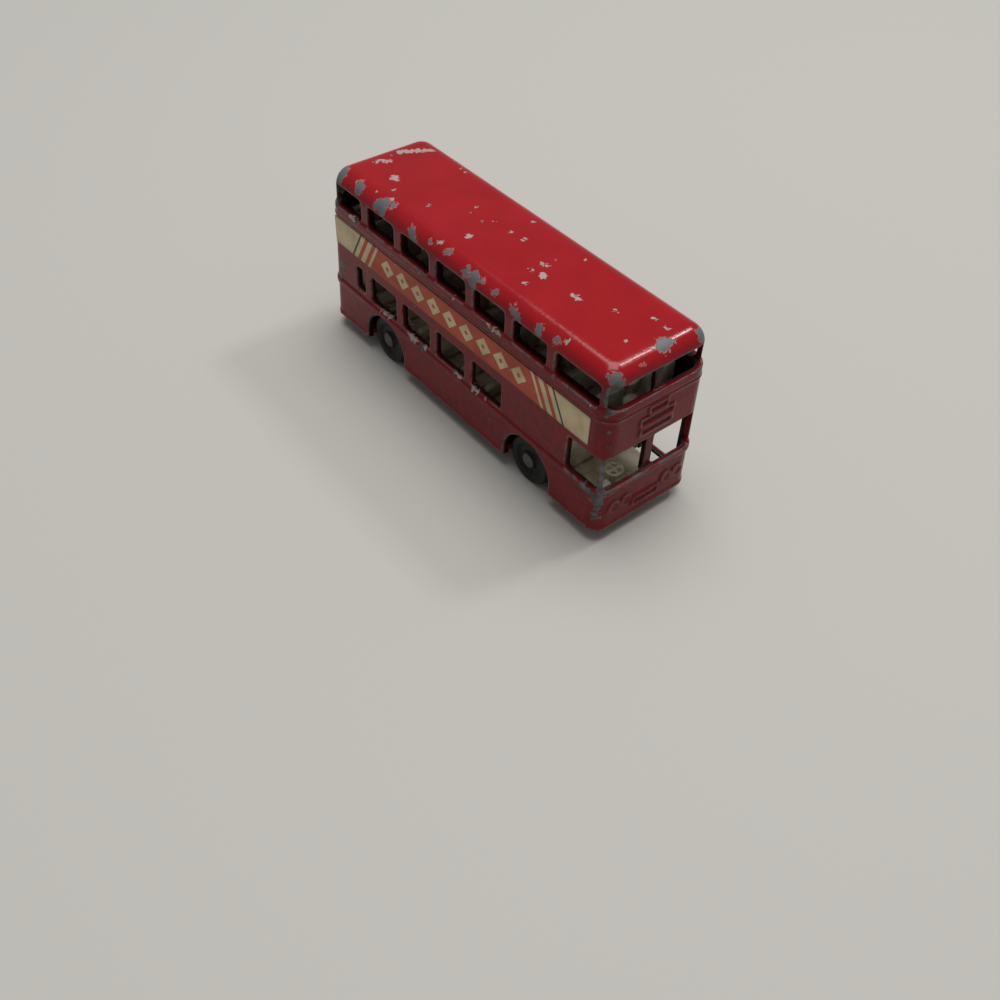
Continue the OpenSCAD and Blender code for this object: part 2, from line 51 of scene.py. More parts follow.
MM = 0.001
scene = bpy.context.scene
BODY_VOXEL_MM = 0.2          # fine enough for the mouldings, coarse enough to round them as paint does
BODY_TRIANGLES = 190000
BODY_HALF_MM, BODY_SIDE_MM, ROOF_MM, SKIRT_MM = 37.0, 10.4, 33.3, 2.4
FRONT_LEAN, REAR_LEAN, ROOF_RADIUS_MM = 0.02, 0.055, 3.3
ROOF_START_MM, ROOF_FULL_MM = 30.6, 32.4             # where the sides turn into the roof
CAST_SKIN_MM, COAT_FADE_MM = 0.25, 0.5               # how deep the outside coat reaches, and how it thins out
MERGE_MM = 0.002
SMOOTHING = (0.5, -0.53) * 3                         # rounds the voxel steps, then swells back to size
BEND_PASSES, EDGE_BEND, HOLLOW_BEND = 4, 0.07, 0.1   # bends that count as a full edge or a full hollow

# Pattern sizes in millimetres
FRAY_MM, FLAKE_MM, SPECK_SPACING_MM = 1.2, 0.6, 3.3      # ragged chip edges, torn flakes, tiny knocks
RUB_MM, STAIN_MM, FILM_MM, PEEL_MM = 3.3, 8.0, 1.4, 0.7  # rubbed patches, fading, dirt, sprayed surface
FRAY_REACH_MM, FLAKE_REACH_MM = 1.6, 0.6                 # how far a chip's edge wanders
CHIP_EDGE_MM, RIM_OUTER_MM, RIM_INNER_MM = 0.06, 0.2, 0.08
PAINT_MM = 0.07              # thickness of the coat at a chip's edge, drawn thick enough to show
KNOCK_SHARE, KNOCK_RADIUS, KNOCK_EDGE = 0.3, 0.06, 0.01  # knocks: share of the cells, size in cells
THIN_FROM, THIN_TO, BARE_FROM, BARE_TO = 0.36, 0.5, 0.5, 0.55
NOISE_LOW, NOISE_HIGH = 0.3, 0.7                         # most of a noise lies between these
SIDE_ROUGH, ROOF_ROUGH, ZINC_ROUGH = 0.26, 0.18, 0.58
SIDE_SHEEN, ROOF_SHEEN, ZINC_METAL = 0.2, 0.4, 0.3       # the film of dirt dulls the sides

# Same enamel on roof and sides: the side colour is that red painted darker, as painted shade
ENAMEL_ROOF, SHADED_SIDE_ENAMEL = "#A20D16", "#7E141D"
# The rubbed colour is thinned paint, lighter on the ridges as painted highlight; the rim colour is a painted
# highlight
RUBBED_AND_HIGHLIT_EDGE, ENAMEL_FILM, CHIP_RIM_HIGHLIGHT = "#82706B", "#48191C", "#C08A85"
# The inside colour is thin overspray, taken near black as painted shade
ENAMEL_HOLLOW_DARK, OVERSPRAY_AND_SHADE = "#2E1514", "#271311"
ZINC_DULL, ZINC_SOILED, BRIGHT_ZINC_AND_GLINT = "#6E7375", "#504C47", "#AE9F99"

# Where the enamel has chipped off: place and radius in millimetres
ROOF_CHIPS = [
    (-27.3, -9.2, 32.6, 1.0), (-27.0, -9.7, 31.9, 0.8), (-20.2, -9.0, 32.7, 0.95), (-21.2, -9.7, 32.0, 0.95),
    (-18.3, -8.5, 32.9, 0.6), (-19.8, -9.9, 31.5, 0.9), (-12.1, -9.4, 32.3, 0.55), (-11.3, -9.9, 31.7, 0.8),
    (-10.2, -10.2, 31.1, 0.6), (-7.0, -9.5, 32.3, 0.6), (-2.9, -9.4, 32.4, 0.5), (-2.4, -8.9, 32.7, 0.4),
    (2.7, -9.8, 31.9, 0.95), (4.6, -9.6, 32.2, 0.85), (6.4, -9.3, 32.4, 0.5), (4.6, -10.1, 31.4, 0.9),
    (9.6, -9.6, 32.2, 0.55), (14.3, -9.9, 31.8, 0.75), (15.6, -10.2, 31.2, 0.7), (20.0, -9.8, 32.0, 0.75),
    (20.4, -10.1, 31.3, 0.6), (24.0, -9.7, 32.0, 0.6), (34.5, 1.4, 33.2, 1.2), (34.9, 0.6, 33.0, 0.9),
    (34.7, 2.6, 33.1, 0.65), (35.6, -3.8, 32.6, 0.5), (-24.0, 9.4, 32.4, 0.8), (-22.8, 9.9, 31.7, 0.7),
    (-9.0, 9.7, 32.1, 0.7), (3.2, 9.5, 32.3, 0.6), (4.6, 10.0, 31.5, 0.8), (17.0, 9.8, 32.0, 0.7),
    (28.0, 9.6, 32.2, 0.6),
]
ROOF_FLECKS = [
    (-19.9, -7.6, 33.2, 0.4), (-24.8, -3.5, 33.3, 0.65), (-25.4, -4.1, 33.3, 0.4), (-21.9, -6.0, 33.3, 0.42),
    (-23.3, -8.4, 33.1, 0.32), (-14.6, -4.1, 33.3, 0.4), (-3.6, -4.5, 33.3, 0.55), (-8.8, -0.1, 33.3, 0.34),
    (-5.7, 0.1, 33.3, 0.3), (-4.6, 1.6, 33.3, 0.3), (-9.9, 2.0, 33.3, 0.28), (-0.7, 1.5, 33.3, 0.42),
    (2.5, 2.0, 33.3, 0.3), (-0.6, 6.7, 33.3, 0.36), (9.3, -0.3, 33.3, 0.5), (10.2, 0.4, 33.3, 0.5),
    (9.5, -2.5, 33.3, 0.38), (11.6, -1.9, 33.3, 0.72), (11.6, -5.5, 33.3, 0.4), (12.4, 6.0, 33.3, 0.36),
    (19.3, -1.5, 33.3, 0.75), (18.3, -1.8, 33.3, 0.5), (24.9, 0.7, 33.3, 0.45), (30.9, -3.1, 33.3, 0.4),
    (29.8, 4.1, 33.3, 0.4), (32.3, 4.0, 33.3, 0.45), (34.2, -0.6, 33.3, 0.42), (-5.2, -8.7, 32.9, 0.4),
    (25.7, -9.0, 32.7, 0.5), (-31.6, 2.3, 33.1, 0.7), (-31.2, 3.2, 33.2, 0.7), (-30.7, 4.2, 33.2, 0.75),
    (-30.2, 5.1, 33.2, 0.7), (-29.7, 6.0, 33.2, 0.65), (-29.0, 6.9, 33.1, 0.6), (-31.5, -2.6, 33.2, 0.7),
    (-31.0, -1.9, 33.2, 0.65), (-30.4, -1.2, 33.3, 0.5), (-31.9, 0.2, 33.0, 0.4), (-21.2, 7.5, 33.2, 0.38),
    (-19.4, 7.2, 33.2, 0.34),
]
SILL_FLECKS = [
    (-20.9, -10.3, 11.4, 0.5), (-19.6, -10.3, 11.4, 0.6), (-18.3, -10.3, 11.4, 0.55),
    (-12.6, -10.4, 11.3, 0.5), (-11.5, -10.4, 11.2, 0.6), (-10.4, -10.4, 11.2, 0.6), (-7.6, -10.4, 11.3, 0.55),
    (1.2, -10.4, 11.4, 0.5), (2.2, -10.4, 11.4, 0.6), (6.0, -10.4, 11.4, 0.65), (7.1, -10.4, 11.3, 0.5),
    (9.0, -10.4, 11.3, 0.4), (-28.6, -10.4, 26.4, 0.55), (-27.5, -10.4, 26.4, 0.5), (9.6, -10.5, 26.3, 0.55),
    (10.9, -10.5, 26.3, 0.6), (12.0, -10.5, 26.3, 0.5), (-8.2, -10.5, 26.3, 0.4), (0.6, -10.5, 26.3, 0.4),
]
CORNER_CHIPS = [
    (-33.4, -9.0, 31.8, 1.9), (-34.0, -9.2, 29.6, 1.5), (-34.6, -9.4, 27.2, 1.1), (-33.6, -10.0, 26.9, 0.7),
    (35.3, -9.0, 32.2, 1.0), (35.7, -8.4, 31.6, 0.9), (35.4, -9.9, 29.9, 0.9), (35.5, -9.8, 28.6, 0.9),
    (35.7, -9.8, 27.4, 0.9), (36.1, -9.6, 26.6, 0.9), (35.3, 8.4, 32.0, 1.1), (36.1, -9.6, 11.6, 0.9),
    (36.1, -9.6, 12.5, 0.8), (36.1, -9.6, 13.4, 0.8), (36.1, -9.6, 14.3, 0.75), (36.1, -9.6, 15.2, 0.75),
    (36.1, -9.6, 16.1, 0.7), (36.1, -9.6, 16.9, 0.6), (36.6, -9.0, 20.2, 0.4), (36.2, -9.6, 22.8, 0.5),
    (36.3, -9.7, 10.2, 1.0), (36.3, -9.7, 8.6, 0.9), (36.1, -9.9, 7.0, 0.8), (36.0, -9.9, 5.4, 0.7),
    (35.4, -10.3, 9.0, 0.7), (33.4, -10.6, 10.4, 0.8), (34.8, -10.6, 10.2, 0.8), (-34.0, 9.0, 30.8, 1.5),
    (-34.6, 9.3, 28.0, 0.9), (36.3, 9.4, 8.0, 0.8), (-36.3, 9.6, 9.0, 0.9), (-36.5, -9.3, 5.2, 0.9),
]
SIDE_CHIPS = [
    (10.3, -10.4, 7.9, 0.42), (6.1, -10.4, 4.8, 0.36), (-33.2, -10.3, 14.4, 1.0), (-34.3, -10.1, 12.0, 1.0),
    (-34.4, -10.0, 16.4, 0.8), (-10.6, -10.4, 11.1, 0.7), (-8.6, -10.5, 10.8, 0.5), (6.4, -10.4, 11.5, 0.55),
    (0.4, -10.4, 11.5, 0.5), (-28.3, -10.5, 26.5, 0.7), (-26.8, -10.6, 26.3, 0.55), (10.9, -10.6, 26.3, 0.6),
    (12.1, -10.6, 26.1, 0.5), (24.6, -10.6, 26.2, 0.4), (-36.2, 3.0, 14.6, 0.5), (-33.0, 10.4, 13.0, 0.7),
    (21.0, 10.4, 9.2, 0.5), (-11.0, 10.5, 10.9, 0.6), (-2.0, 10.6, 26.2, 0.6), (14.0, 10.5, 10.6, 0.5),
]


def linear(code):
    """Turn an sRGB hex colour into linear light."""
    parts = [int(code[i:i + 2], 16) / 255 for i in (1, 3, 5)]
    return [c / 12.92 if c <= 0.04045 else ((c + 0.055) / 1.055) ** 2.4 for c in parts] + [1.0]


def put(tree, kind, inputs=(), **settings):
    """Add a node with its settings, and set or link its inputs; a node given stands for its first output."""
    made = tree.nodes.new(kind)
    for key, value in settings.items():
        setattr(made, key, value)
    for socket, value in dict(inputs).items():
        if isinstance(value, bpy.types.Node):
            value = next(o for o in value.outputs if o.enabled)
        if isinstance(value, bpy.types.NodeSocket):
            tree.links.new(value, made.inputs[socket])
        else:
            made.inputs[socket].default_value = value
    return made


def start_material(name):
    """Start a material; return it with its tree, its shader and the place on the piece in millimetres."""
    made = bpy.data.materials.new(name)
    made.use_nodes = True
    tree = made.node_tree
    place = put(tree, "ShaderNodeTexCoord").outputs["Object"]
    place_mm = put(tree, "ShaderNodeVectorMath", {0: place, "Scale": 1 / MM}, operation="SCALE")
    return made, tree, tree.nodes["Principled BSDF"], place_mm


def feed(tree, source, shader, socket):
    """Link a node's first output to the shader."""
    tree.links.new(next(o for o in source.outputs if o.enabled), shader.inputs[socket])


def soft_copy(node, name, voxel, triangles):
    """Copy a CAD node as a soft-edged casting or moulding, with its raised edges and hollows stored on it."""
    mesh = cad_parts[node].data.copy()
    mesh.transform(Matrix.Scale(1 / MM, 4))
    work = bmesh.new()
    work.from_mesh(mesh)
    bmesh.ops.remove_doubles(work, verts=work.verts, dist=MERGE_MM)
    work.to_mesh(mesh)
    work.free()
    made = bpy.data.objects.new(name, mesh)
    scene.collection.objects.link(made)

    def settle():
        """Turn the piece and its modifiers into a plain mesh."""
        graph = bpy.context.evaluated_depsgraph_get()
        plain = bpy.data.meshes.new_from_object(made.evaluated_get(graph), depsgraph=graph)
        made.modifiers.clear()
        made.data = plain

    remesh = made.modifiers.new("soft_edges", "REMESH")
    remesh.mode, remesh.voxel_size, remesh.adaptivity = "VOXEL", voxel, 0.0
    settle()
    count = len(made.data.vertices)
    points = np.zeros(count * 3, np.float32)
    made.data.vertices.foreach_get("co", points)
    points = points.reshape(-1, 3).astype(float)
    ends = np.zeros(len(made.data.edges) * 2, np.int32)
    made.data.edges.foreach_get("vertices", ends)
    first, second = ends.reshape(-1, 2).T
    degree = np.bincount(ends, minlength=count)

    def around(values):
        """Mean of a value over each point's neighbours."""
        ahead = np.bincount(first, values[second], count)
        behind = np.bincount(second, values[first], count)
        return (ahead + behind) / degree

    for factor in SMOOTHING:
        points += factor * (np.stack([around(points[:, k]) for k in range(3)], 1) - points)
    made.data.vertices.foreach_set("co", points.astype(np.float32).ravel())
    made.data.update()

    # How sharply the surface bends, and how deep each point lies under the body's outside
    normals = np.zeros(count * 3, np.float32)
    made.data.vertices.foreach_get("normal", normals)
    mean = np.stack([around(points[:, k]) for k in range(3)], 1)
    bend = np.einsum("ij,ij->i", points - mean, normals.reshape(-1, 3)) / voxel
    for _ in range(BEND_PASSES):
        bend = 0.5 * bend + 0.5 * around(bend)
    inward = np.stack([
        BODY_SIDE_MM - np.abs(points[:, 1]),
        BODY_HALF_MM - FRONT_LEAN * (points[:, 2] - SKIRT_MM) - points[:, 0],
        BODY_HALF_MM - REAR_LEAN * (points[:, 2] - SKIRT_MM) + points[:, 0],
        ROOF_MM - points[:, 2],
    ], 1)
    depth = ROOF_RADIUS_MM - np.linalg.norm(np.maximum(ROOF_RADIUS_MM - inward, 0), axis=1)
    edge, hollow = np.clip(bend / EDGE_BEND, 0, 1), np.clip(-bend / HOLLOW_BEND, 0, 1)
    for key, values in (("edge", edge), ("hollow", hollow), ("depth", depth)):
        stored = made.data.attributes.new(key, "FLOAT", "POINT")
        stored.data.foreach_set("value", values.astype(np.float32))

    # Fewer triangles, none of them outside the CAD node's box
    thin = made.modifiers.new("thin", "DECIMATE")
    thin.ratio = min(1.0, triangles / (2 * len(made.data.polygons)))
    settle()
    low, high = ([c / MM for c in corner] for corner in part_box(node))
    points = np.zeros(len(made.data.vertices) * 3, np.float32)
    made.data.vertices.foreach_get("co", points)
    points = np.clip(points.reshape(-1, 3), low, high)
    made.data.vertices.foreach_set("co", points.astype(np.float32).ravel())
    made.data.transform(Matrix.Scale(MM, 4))
    made.data.shade_smooth()
    even = made.modifiers.new("even_normals", "WEIGHTED_NORMAL")
    even.mode, even.weight = "FACE_AREA", 80
    return made


def dress(piece, material, body, node):
    """Give a piece its one material and let it stand for its CAD node."""
    piece.data.materials.clear()
    piece.data.materials.append(material)
    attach(piece, body)
    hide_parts(node)


# Worn enamel over zinc: a satin red with ragged grey chips, and a pale painted highlight round each on the roof;
# thin brown edges, lighter on the ridges as painted highlight, and darker hollows; the sides are painted darker
# than the roof as painted shade, and are duller, with a film of dirt
enamel, tree, shader, place = start_material("worn_red_enamel")
ragged = put(tree, "ShaderNodeTexNoise",
             {"Vector": place, "Scale": 1 / FRAY_MM, "Detail": 5.0, "Roughness": 0.66})
flake = put(tree, "ShaderNodeTexVoronoi", {"Vector": place, "Scale": 1 / FLAKE_MM, "Randomness": 1.0})
centred = -(FRAY_REACH_MM + FLAKE_REACH_MM) / 2
torn = put(tree, "ShaderNodeVectorMath",
           {0: flake.outputs["Color"], 1: [FLAKE_REACH_MM] * 3, 2: [centred] * 3}, operation="MULTIPLY_ADD")
frayed = put(tree, "ShaderNodeVectorMath",
             {0: ragged.outputs["Color"], 1: [FRAY_REACH_MM] * 3, 2: torn}, operation="MULTIPLY_ADD")
warped = put(tree, "ShaderNodeVectorMath", {0: frayed, 1: place}, operation="ADD")


def spots(places):
    """Distance in millimetres to the edge of the nearest ragged spot, below zero inside it."""
    field = None
    for x, y, z, radius in places:
        away = put(tree, "ShaderNodeVectorMath", {0: warped, 1: (x, y, z)}, operation="DISTANCE")
        inset = put(tree, "ShaderNodeMath", {0: away.outputs["Value"], 1: radius}, operation="SUBTRACT")
        field = put(tree, "ShaderNodeMath", {0: field, 1: inset}, operation="MINIMUM") if field else inset
    return field


# Chips, flecks and knocks, and the edges that are rubbed through
chipped, flecked = spots(ROOF_CHIPS + CORNER_CHIPS + SIDE_CHIPS), spots(ROOF_FLECKS + SILL_FLECKS)
chip = put(tree, "ShaderNodeMapRange", {"Value": chipped, "From Min": CHIP_EDGE_MM, "From Max": -CHIP_EDGE_MM})
# A pale ring round each chip, on the roof only: a painted highlight
rim_highlight = put(tree, "ShaderNodeMapRange",
          {"Value": chipped, "From Min": RIM_OUTER_MM, "From Max": RIM_INNER_MM, "To Max": 0.75})
fleck = put(tree, "ShaderNodeMapRange", {"Value": flecked, "From Min": CHIP_EDGE_MM, "From Max": -CHIP_EDGE_MM})
cells = put(tree, "ShaderNodeTexVoronoi", {"Vector": place, "Scale": 1 / SPECK_SPACING_MM, "Randomness": 1.0})
lot = put(tree, "ShaderNodeSeparateColor", {"Color": cells.outputs["Color"]})
size = put(tree, "ShaderNodeMapRange",
           {"Value": lot, "From Min": 1 - KNOCK_SHARE, "From Max": 1.0, "To Min": 0.0, "To Max": KNOCK_RADIUS})
gap = put(tree, "ShaderNodeMath", {0: cells.outputs["Distance"], 1: size}, operation="SUBTRACT")
dot = put(tree, "ShaderNodeMapRange", {"Value": gap, "From Min": KNOCK_EDGE, "From Max": -KNOCK_EDGE})
speck = put(tree, "ShaderNodeMath", {0: fleck, 1: dot}, operation="MAXIMUM")
edge = put(tree, "ShaderNodeAttribute", attribute_name="edge").outputs["Fac"]
patchy = put(tree, "ShaderNodeTexNoise",
             {"Vector": place, "Scale": 1 / RUB_MM, "Detail": 6.0, "Roughness": 0.7})
rubbed = put(tree, "ShaderNodeMath", {0: edge, 1: patchy.outputs["Fac"]}, operation="MULTIPLY")
# Rubbed thin on convex edges, and lighter there as a painted highlight along the ridges
thinned_and_highlit = put(tree, "ShaderNodeMapRange",
              {"Value": rubbed, "From Min": THIN_FROM, "From Max": THIN_TO, "To Max": 0.7})
through = put(tree, "ShaderNodeMapRange", {"Value": rubbed, "From Min": BARE_FROM, "From Max": BARE_TO})
bare = put(tree, "ShaderNodeMath", {0: chip, 1: speck}, operation="MAXIMUM")
bare = put(tree, "ShaderNodeMath", {0: bare, 1: through}, operation="MAXIMUM")

# Colour: fresh red above with painted shade on the sides, then fading, dirt film, brown edges with painted
# highlight, painted highlight round the chips, darker hollows, overspray inside darkened as painted shade, zinc
# with painted glints
height = put(tree, "ShaderNodeSeparateXYZ", {0: place}).outputs["Z"]
top = put(tree, "ShaderNodeMapRange", {"Value": height, "From Min": ROOF_START_MM, "From Max": ROOF_FULL_MM})
below = put(tree, "ShaderNodeMath", {0: 1.0, 1: top}, operation="SUBTRACT")
# Sides darker than the roof: painted shade
red = put(tree, "ShaderNodeMix", {"Factor": top, 6: linear(SHADED_SIDE_ENAMEL), 7: linear(ENAMEL_ROOF)},
          data_type="RGBA")
stain = put(tree, "ShaderNodeTexNoise",
            {"Vector": place, "Scale": 1 / STAIN_MM, "Detail": 7.0, "Roughness": 0.62})
fade = put(tree, "ShaderNodeMapRange",
           {"Value": stain.outputs["Fac"], "From Min": NOISE_LOW, "From Max": NOISE_HIGH,
            "To Min": 0.9, "To Max": 1.06})
faded = put(tree, "ShaderNodeVectorMath", {0: red, "Scale": fade}, operation="SCALE")
film = put(tree, "ShaderNodeTexNoise",
           {"Vector": place, "Scale": 1 / FILM_MM, "Detail": 8.0, "Roughness": 0.72})
filmed = put(tree, "ShaderNodeMapRange",
             {"Value": film.outputs["Fac"], "From Min": 0.44, "From Max": NOISE_HIGH, "To Max": 0.75})
filmed = put(tree, "ShaderNodeMath", {0: filmed, 1: below}, operation="MULTIPLY")
dirty = put(tree, "ShaderNodeMix", {"Factor": filmed, 6: faded, 7: linear(ENAMEL_FILM)}, data_type="RGBA")
worn_and_highlit = put(tree, "ShaderNodeMath", {0: thinned_and_highlit, 1: below}, operation="MULTIPLY")
brown = put(tree, "ShaderNodeMix", {"Factor": worn_and_highlit, 6: dirty, 7: linear(RUBBED_AND_HIGHLIT_EDGE)}, data_type="RGBA")
lip_highlight = put(tree, "ShaderNodeMath", {0: rim_highlight, 1: top}, operation="MULTIPLY")
with_rim_highlight = put(tree, "ShaderNodeMix", {"Factor": lip_highlight, 6: brown, 7: linear(CHIP_RIM_HIGHLIGHT)}, data_type="RGBA")
# Darker in the hollows
hollow = put(tree, "ShaderNodeAttribute", attribute_name="hollow").outputs["Fac"]
hollows_darkened = put(tree, "ShaderNodeMix", {"Factor": hollow, 6: with_rim_highlight, 7: linear(ENAMEL_HOLLOW_DARK)}, data_type="RGBA")
# Inside the casting: thin overspray, darkened near black as painted shade under the roof and in the arches
depth = put(tree, "ShaderNodeAttribute", attribute_name="depth").outputs["Fac"]
inside_and_shade = put(tree, "ShaderNodeMapRange",
             {"Value": depth, "From Min": CAST_SKIN_MM, "From Max": CAST_SKIN_MM + COAT_FADE_MM})
lined_and_shaded = put(tree, "ShaderNodeMix", {"Factor": inside_and_shade, 6: hollows_darkened, 7: linear(OVERSPRAY_AND_SHADE)}, data_type="RGBA")
soil = put(tree, "ShaderNodeMapRange",
           {"Value": film.outputs["Fac"], "From Min": 0.42, "From Max": 0.58, "To Max": below})
grey = put(tree, "ShaderNodeMix", {"Factor": soil, 6: linear(ZINC_DULL), 7: linear(ZINC_SOILED)},
           data_type="RGBA")
# Flecks and knocks in brighter zinc: fresh metal, lightened further as a painted highlight
zinc = put(tree, "ShaderNodeMix", {"Factor": speck, 6: grey, 7: linear(BRIGHT_ZINC_AND_GLINT)}, data_type="RGBA")
colour = put(tree, "ShaderNodeMix", {"Factor": bare, 6: lined_and_shaded, 7: zinc}, data_type="RGBA")
feed(tree, colour, shader, "Base Color")

# Gloss, and the step of the paint at each chip
metal = put(tree, "ShaderNodeMath", {0: bare, 1: ZINC_METAL}, operation="MULTIPLY")
feed(tree, metal, shader, "Metallic")
gloss = put(tree, "ShaderNodeMapRange", {"Value": top, "To Min": SIDE_ROUGH, "To Max": ROOF_ROUGH})
haze = put(tree, "ShaderNodeMapRange",
           {"Value": stain.outputs["Fac"], "From Min": NOISE_LOW, "From Max": NOISE_HIGH,
            "To Min": -0.03, "To Max": 0.06})
matt = put(tree, "ShaderNodeMath", {0: gloss, 1: haze}, operation="ADD")
rough = put(tree, "ShaderNodeMix", {"Factor": bare, 2: matt, 3: ZINC_ROUGH})
feed(tree, rough, shader, "Roughness")
sheen = put(tree, "ShaderNodeMapRange", {"Value": top, "To Min": SIDE_SHEEN, "To Max": ROOF_SHEEN})
feed(tree, sheen, shader, "Specular IOR Level")
peel = put(tree, "ShaderNodeTexNoise", {"Vector": place, "Scale": 1 / PEEL_MM, "Detail": 3.0})
skin = put(tree, "ShaderNodeMath", {0: peel.outputs["Fac"], 1: 0.35}, operation="MULTIPLY")
step = put(tree, "ShaderNodeMath", {0: skin, 1: bare}, operation="SUBTRACT")
relief = put(tree, "ShaderNodeBump", {"Height": step, "Distance": PAINT_MM * MM, "Strength": 0.9})
feed(tree, relief, shader, "Normal")

body = soft_copy("body_casting", "enamelled_body", BODY_VOXEL_MM, BODY_TRIANGLES)
dress(body, enamel, "chassis", "body_casting")

# Base plate
# A second zinc casting under the body, held by the body's two peened posts.
# It is sprayed in the same red, and its pad is rubbed where it drags on the floor.

BASE_VOXEL_MM, BASE_TRIANGLES = 0.2, 40000
BASE_ENAMEL = "#6E2023"
PAD_LOW_MM, PAD_RUB_MM, SCUFF_MM, SCUFF_DEPTH_MM = 2.36, 0.1, 2.0, 0.05
PAD_WEAR, EDGE_WEAR = 0.16, 0.12             # what the pad and the edges add to the scuffs
# Rubbed base enamel: dull dark red, with grey metal on the pad and the edges
made, tree, shader, place = start_material("rubbed_base_enamel")
scuff = put(tree, "ShaderNodeTexNoise",
            {"Vector": place, "Scale": 1 / SCUFF_MM, "Detail": 7.0, "Roughness": 0.7})
height = put(tree, "ShaderNodeSeparateXYZ", {0: place}).outputs["Z"]
dragged = put(tree, "ShaderNodeMapRange",
              {"Value": height, "From Min": PAD_LOW_MM + PAD_RUB_MM, "From Max": PAD_LOW_MM, "To Max": PAD_WEAR})
edge = put(tree, "ShaderNodeAttribute", attribute_name="edge").outputs["Fac"]
raised = put(tree, "ShaderNodeMath", {0: edge, 1: EDGE_WEAR, 2: dragged}, operation="MULTIPLY_ADD")
wear = put(tree, "ShaderNodeMath", {0: scuff.outputs["Fac"], 1: raised}, operation="ADD")
bare = put(tree, "ShaderNodeMapRange", {"Value": wear, "From Min": 0.62, "From Max": 0.68})
colour = put(tree, "ShaderNodeMix", {"Factor": bare, 6: linear(BASE_ENAMEL), 7: linear(ZINC_DULL)},
             data_type="RGBA")
feed(tree, colour, shader, "Base Color")
metal = put(tree, "ShaderNodeMath", {0: bare, 1: 0.4}, operation="MULTIPLY")
feed(tree, metal, shader, "Metallic")
rough = put(tree, "ShaderNodeMapRange", {"Value": scuff.outputs["Fac"], "To Min": 0.3, "To Max": 0.6})
feed(tree, rough, shader, "Roughness")
relief = put(tree, "ShaderNodeBump", {"Height": wear, "Distance": SCUFF_DEPTH_MM * MM, "Strength": 0.5})
feed(tree, relief, shader, "Normal")
base = soft_copy("base_plate", "enamelled_base", BASE_VOXEL_MM, BASE_TRIANGLES)
dress(base, made, "chassis", "base_plate")

# Saloons
# Two mouldings in cream polystyrene, each a floor with its rows of seats, trapped between body and base.
# The lower one has the cab with its steering wheel; both are dusty, and darker in the hollows between the seats.

SALOON_VOXEL_MM, SALOON_TRIANGLES = 0.16, 60000
CREAM, CREAM_DUST = "#F0E7D0", "#75624B"
CAB_REAR_MM, CAB_FRONT_MM = 24.0, 30.0    # the cab, with the door beside it, is painted lighter than the saloons with less dust: painted light through the door
DUST_MM, MOULD_GRAIN_MM, GRAIN_DEPTH_MM = 3.3, 0.4, 0.03
LEAST_DUST, MOST_DUST, HOLLOW_DARKENING = 0.5, 0.85, 0.6
# Cream polystyrene: pale and softly shining where clean, brown and dull where dust lies, darker in hollows,
# lighter at the front as painted light
made, tree, shader, place = start_material("cream_polystyrene")
dust = put(tree, "ShaderNodeTexNoise",
           {"Vector": place, "Scale": 1 / DUST_MM, "Detail": 7.0, "Roughness": 0.66})
along = put(tree, "ShaderNodeSeparateXYZ", {0: place}).outputs["X"]
# Less dust towards the cab: painted light from the doorway
least_dust_and_cab_light = put(tree, "ShaderNodeMapRange",
            {"Value": along, "From Min": CAB_FRONT_MM, "From Max": CAB_REAR_MM, "To Max": LEAST_DUST})
speckled = put(tree, "ShaderNodeMapRange",
               {"Value": dust.outputs["Fac"], "From Min": 0.38, "From Max": 0.75,
                "To Min": least_dust_and_cab_light, "To Max": MOST_DUST})
hollow = put(tree, "ShaderNodeAttribute", attribute_name="hollow").outputs["Fac"]
# Dust, plus darkening in the hollows
dust_and_hollow_dark = put(tree, "ShaderNodeMath", {0: hollow, 1: HOLLOW_DARKENING, 2: speckled},
            operation="MULTIPLY_ADD", use_clamp=True)
colour = put(tree, "ShaderNodeMix", {"Factor": dust_and_hollow_dark, 6: linear(CREAM), 7: linear(CREAM_DUST)},
             data_type="RGBA")
feed(tree, colour, shader, "Base Color")
rough = put(tree, "ShaderNodeMapRange", {"Value": dust_and_hollow_dark, "To Min": 0.36, "To Max": 0.7})
feed(tree, rough, shader, "Roughness")
fine = put(tree, "ShaderNodeTexNoise", {"Vector": place, "Scale": 1 / MOULD_GRAIN_MM, "Detail": 3.0})
relief = put(tree, "ShaderNodeBump",
             {"Height": fine.outputs["Fac"], "Distance": GRAIN_DEPTH_MM * MM, "Strength": 0.5})
feed(tree, relief, shader, "Normal")
for node in ("upper_saloon", "lower_saloon"):
    saloon = soft_copy(node, "moulded_" + node, SALOON_VOXEL_MM, SALOON_TRIANGLES)
    dress(saloon, made, "chassis", node)

# Axles
# Two plain steel wires through the base's lugs, their ends struck into low domed heads.
# The heads have dulled to a soft grey and hold a little dirt.

STEEL_DULL, STEEL = "#403F3E", "#747473"
TARNISH_MM, PIT_DEPTH_MM = 0.8, 0.04
